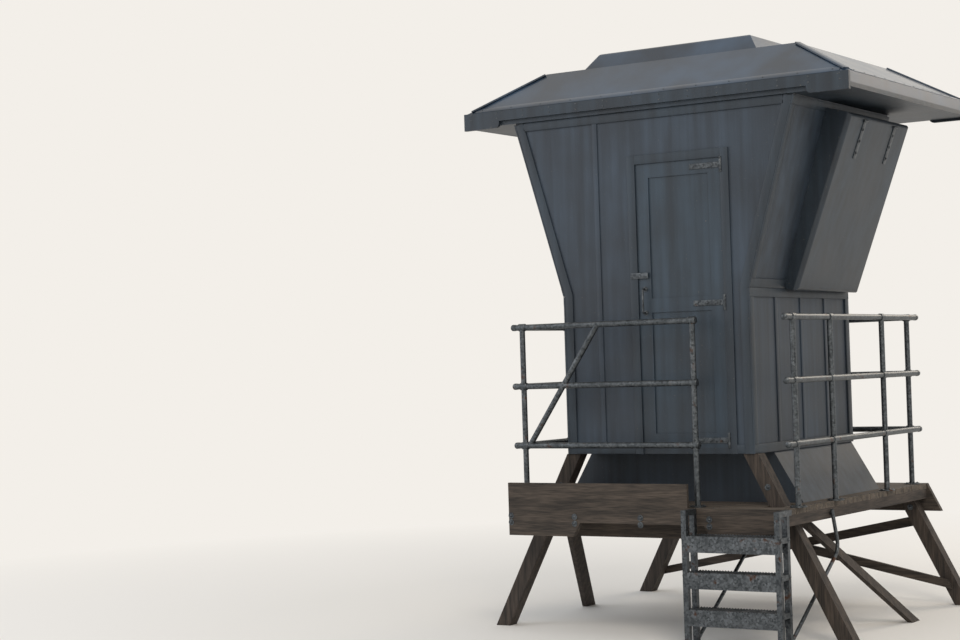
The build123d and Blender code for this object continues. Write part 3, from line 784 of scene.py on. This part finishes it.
shutter_straps()


# Roof dressing
def hip_caps():
    """A flat cap up each of the four hips, a little short of the eave and of the roof's flat top."""
    shapes = []
    for side_x in (-1, 1):
        for side_y in (-1, 1):
            foot = np.array([side_x * eave_x, roof_middle_y + side_y * eave_y, eave_z])
            crown_y = roof_middle_y + side_y * ROOF_FLAT_HALF_Y
            crown = np.array([side_x * ROOF_FLAT_HALF_X, crown_y, shell_high.z])
            run = (crown - foot) / np.linalg.norm(crown - foot)
            start = foot + run * HIP_FOOT_GAP
            end = crown - run * HIP_CROWN_GAP
            across = np.cross(run, (0, 0, 1))
            shapes.append(flat_bar(start, end, HIP_WIDTH, HIP_THICKNESS, across, HIP_ROUND))
    add_piece("roof_hip_caps", shapes, ROOF)


def edge_strips():
    """A strip along the foot of each roof slope, and a row of screws in each strip."""
    strips, screws = [], []
    x_way, y_way, up = np.eye(3)
    slopes = (
        (x_way, y_way, eave_x, eave_y, ROOF_FLAT_HALF_Y),
        (y_way, x_way, eave_y, eave_x, ROOF_FLAT_HALF_X),
    )
    for along, away, half_length, half_eave, half_flat in slopes:
        slope = math.atan2(ROOF_SLOPE_HEIGHT, half_eave - half_flat)
        reach = half_length - STRIP_END_GAP
        last = reach - STRIP_SCREW_END
        for side in (-1, 1):
            out = side * away
            up_slope = up * math.sin(slope) - out * math.cos(slope)
            normal = up * math.cos(slope) + out * math.sin(slope)
            eave = np.array([0, roof_middle_y, eave_z]) + out * half_eave
            middle = eave + up_slope * (STRIP_WIDTH / 2 + STRIP_EAVE_GAP) + normal * STRIP_LIFT
            start, end = middle - along * reach, middle + along * reach
            strips.append(flat_bar(start, end, STRIP_WIDTH, STRIP_THICKNESS, up_slope, METAL_ROUND))
            for place in np.linspace(-last, last, STRIP_SCREW_COUNT):
                screws.append(screw_head(middle + along * place + normal * STRIP_LIFT, normal))
    add_piece("roof_edge_strips", strips, ROOF)
    add_piece("roof_screws", screws, TUBE)


def fascia_screws():
    """Pairs of screws along each end fascia, into the soffit board behind it."""
    shapes = []
    for name, out in (("roof_fascia_front", -1), ("roof_fascia_back", 1)):
        low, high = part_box(name)
        y = low.y if out < 0 else high.y
        for x in np.linspace(low.x + FASCIA_SCREW_END, high.x - FASCIA_SCREW_END, FASCIA_SCREW_COUNT):
            shapes += [screw_head((x, y, high.z - drop), (0, out, 0)) for drop in FASCIA_SCREW_DROPS]
    add_piece("fascia_screws", shapes, TUBE)


hip_caps()
edge_strips()
fascia_screws()


# Timber fixings
def timber_bolts():
    """Bolts on washers: through the front beam into each joist, and through the legs near the deck."""
    shapes = []
    beam_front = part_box("deck_beam_front")[0].y
    joist_low, joist_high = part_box("deck_joists")
    for x in np.linspace(joist_low.x + JOIST_WIDTH / 2, joist_high.x - JOIST_WIDTH / 2, JOIST_COUNT):
        for drop in JOIST_BOLT_DROPS:
            shapes.append(bolt_head((x, beam_front, deck_low.z - drop), (0, -1, 0), FRAME_BOLT))
    front_heights = (deck_low.z - LEG_BOLT_BELOW_DECK, deck_high.z + LEG_BOLT_ABOVE_DECK)
    back_heights = [back_leg_high.z - drop for drop in BACK_LEG_BOLT_DROPS]
    for low, high, heights in (
        (leg_low, leg_high, front_heights),
        (back_leg_low, back_leg_high, back_heights),
    ):
        for z in heights:
            x = low.x + leg_thickness / 2 + (high.z - z) * leg_slope
            shapes += [bolt_head((side * x, low.y, z), (0, -1, 0), FRAME_BOLT) for side in (-1, 1)]
    add_piece("frame_bolts", shapes, TUBE)


timber_bolts()


# Railing fittings
def end_cap(place, axis):
    """A shallow domed cap on the end of a rail: a sleeve round the rail, a shoulder and a crown."""
    outside = RAIL_RADIUS + CAP_WALL
    turn = (RAIL_RADIUS * CAP_TURN, CAP_DOME * CAP_TURN)
    profile = [(outside, -CAP_SLEEVE), (outside, CAP_SHOULDER), turn, (CAP_CROWN_RADIUS, CAP_DOME)]
    return turned(profile, place, axis)


def flange_bolts(x, y):
    """Four bolts round a post's foot flange, at 45 degrees to the rails."""
    angle = np.pi / 4 + np.arange(4) * np.pi / 2
    spots = np.stack([x + FLANGE_BOLT_CIRCLE * np.cos(angle), y + FLANGE_BOLT_CIRCLE * np.sin(angle)], 1)
    z = deck_high.z + FLANGE_THICKNESS
    return [bolt_head((spot_x, spot_y, z), (0, 0, 1), FLANGE_BOLT) for spot_x, spot_y in spots]


def railing_fittings():
    """Collars where posts meet rails, caps on the open rail ends, and bolts in the flanges."""
    front_low, front_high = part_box("railing_front")
    side_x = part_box("railing_right")[1].x - FLANGE_RADIUS
    front_y = front_low.y + FLANGE_RADIUS
    back_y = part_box("railing_back")[1].y - FLANGE_RADIUS
    gate_x = front_high.x - FLANGE_RADIUS
    end_x = side_x - END_POST_INSET
    middle_y = (front_y + back_y) / 2
    heights = [deck_high.z + height for height in RAIL_HEIGHTS]
    posts = [(side * side_x, middle_y + run, (0, 1, 0)) for side in (-1, 1) for run in SIDE_POST_RUNS]
    posts.append((side_x, front_y + CORNER_OVERHANG, (0, 1, 0)))
    posts += [(x, front_y, (1, 0, 0)) for x in (-end_x, gate_x)]
    posts += [(x, back_y, (1, 0, 0)) for x in (-end_x, 0.0, end_x)]
    collar = barrel(COLLAR_RADIUS, COLLAR_LENGTH, COLLAR_LIP)
    shapes = []
    for x, y, axis in posts:
        shapes += [turned(collar, (x, y, z), axis) for z in heights]
        shapes += flange_bolts(x, y)
    for z in heights:
        for x in (-side_x, side_x):
            shapes.append(end_cap((x, front_y, z), (0, -1, 0)))
            shapes.append(end_cap((x, back_y, z), (0, 1, 0)))
        shapes.append(end_cap((gate_x, front_y, z), (1, 0, 0)))
    add_piece("railing_fittings", shapes, PIPE)


railing_fittings()


# Step fixings
def step_bolts():
    """Two bolts through each side of every tread, and one in each foot plate."""
    shapes = []
    left_low, left_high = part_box("step_side_left")
    right_low, right_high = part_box("step_side_right")
    for number in (1, 2, 3):
        tread_low, tread_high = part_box(f"tread_{number}")
        z = tread_high.z - TREAD_BOLT_DROP
        for x, out in ((left_low.x, -1), (right_high.x, 1)):
            for y in (tread_low.y + TREAD_BOLT_INSET, tread_high.y - TREAD_BOLT_INSET):
                shapes.append(bolt_head((x, y, z), (out, 0, 0), TREAD_BOLT))
    for low, high in ((left_low, left_high), (right_low, right_high)):
        place = ((low.x + high.x) / 2, low.y + FOOT_BOLT_INSET, STEP_FOOT_THICKNESS)
        shapes.append(bolt_head(place, (0, 0, 1), FOOT_BOLT))
    add_piece("step_bolts", shapes, TUBE)


step_bolts()


# Floor, backdrop and light
def pale_mix(tree, lit, seen):
    """Shows the plain pale colour to the camera and to mirror and glass rays, and the lit one to others."""
    path = node(tree, "ShaderNodeLightPath", {}).outputs
    camera_or_mirror = {0: path["Is Camera Ray"], 1: path["Is Glossy Ray"]}
    direct = node(tree, "ShaderNodeMath", camera_or_mirror, operation="MAXIMUM").outputs[0]
    shown = {0: direct, 1: path["Is Transmission Ray"]}
    any_ray = node(tree, "ShaderNodeMath", shown, operation="MAXIMUM").outputs[0]
    return node(tree, "ShaderNodeMixShader", {0: any_ray, 1: lit, 2: seen}).outputs[0]


def add_world():
    """A soft grey sky for light and a pale warm backdrop for the eye."""
    world = bpy.data.worlds.new("studio")
    bpy.context.scene.world = world
    world.use_nodes = True
    tree = world.node_tree
    tree.nodes.clear()
    lit = node(tree, "ShaderNodeBackground", {}, Color=linear(SKY), Strength=SKY_STRENGTH)
    seen = node(tree, "ShaderNodeBackground", {}, Color=linear(PALE), Strength=1.0)
    mixed = pale_mix(tree, lit.outputs[0], seen.outputs[0])
    node(tree, "ShaderNodeOutputWorld", {"Surface": mixed})


def add_floor():
    """A broad flat floor under the feet that reaches past the picture and fades into the backdrop."""
    corners = np.array([(-1, -1, 0), (1, -1, 0), (1, 1, 0), (-1, 1, 0)]) * FLOOR_HALF_SIZE
    mesh = bpy.data.meshes.new("studio_floor")
    mesh.from_pydata(corners.tolist(), [], [[0, 1, 2, 3]])
    floor = bpy.data.objects.new("studio_floor", mesh)
    bpy.context.scene.collection.objects.link(floor)
    material, tree, shader, place = start_material("studio_floor")
    shader.inputs["Base Color"].default_value = linear("#e9e5de")
    shader.inputs["Roughness"].default_value = 0.95
    shader.inputs["Specular IOR Level"].default_value = 0.1
    # With its distance from the tower's middle the floor turns into the backdrop's plain colour
    reach = node(tree, "ShaderNodeVectorMath", {0: place}, operation="LENGTH").outputs["Value"]
    near, end = FLOOR_FADE
    far = node(tree, "ShaderNodeMapRange", {"Value": reach}, From_Min=near, From_Max=end).outputs["Result"]
    plain = node(tree, "ShaderNodeEmission", {}, Color=linear(PALE), Strength=1.0)
    seen = node(tree, "ShaderNodeMixShader", {0: far, 1: shader.outputs[0], 2: plain.outputs[0]})
    surface = pale_mix(tree, shader.outputs[0], seen.outputs[0])
    join(tree, tree.nodes["Material Output"], {"Surface": surface})
    mesh.materials.append(material)


def add_lamp(name, place, target, size, power, colour):
    """A square soft lamp that faces a target point."""
    data = bpy.data.lights.new(name, "AREA")
    data.size = size
    data.energy = power
    data.color = linear(colour)[:3]
    lamp = bpy.data.objects.new(name, data)
    lamp.location = place
    lamp.rotation_euler = (Vector(target) - Vector(place)).to_track_quat("-Z", "Y").to_euler()
    bpy.context.scene.collection.objects.link(lamp)


add_world()
add_floor()
add_lamp("key_lamp", (7.0, -9.0, 9.0), target=(0, 0, 1.8), size=4.0, power=520.0, colour="#fff4e6")
add_lamp("fill_lamp", (-8.0, -7.0, 5.0), target=(0, 0, 1.8), size=5.0, power=160.0, colour="#e8f0ff")
add_lamp("rim_lamp", (3.0, 10.0, 7.0), target=(0, 0, 2.4), size=4.0, power=300.0, colour="#fff0dd")
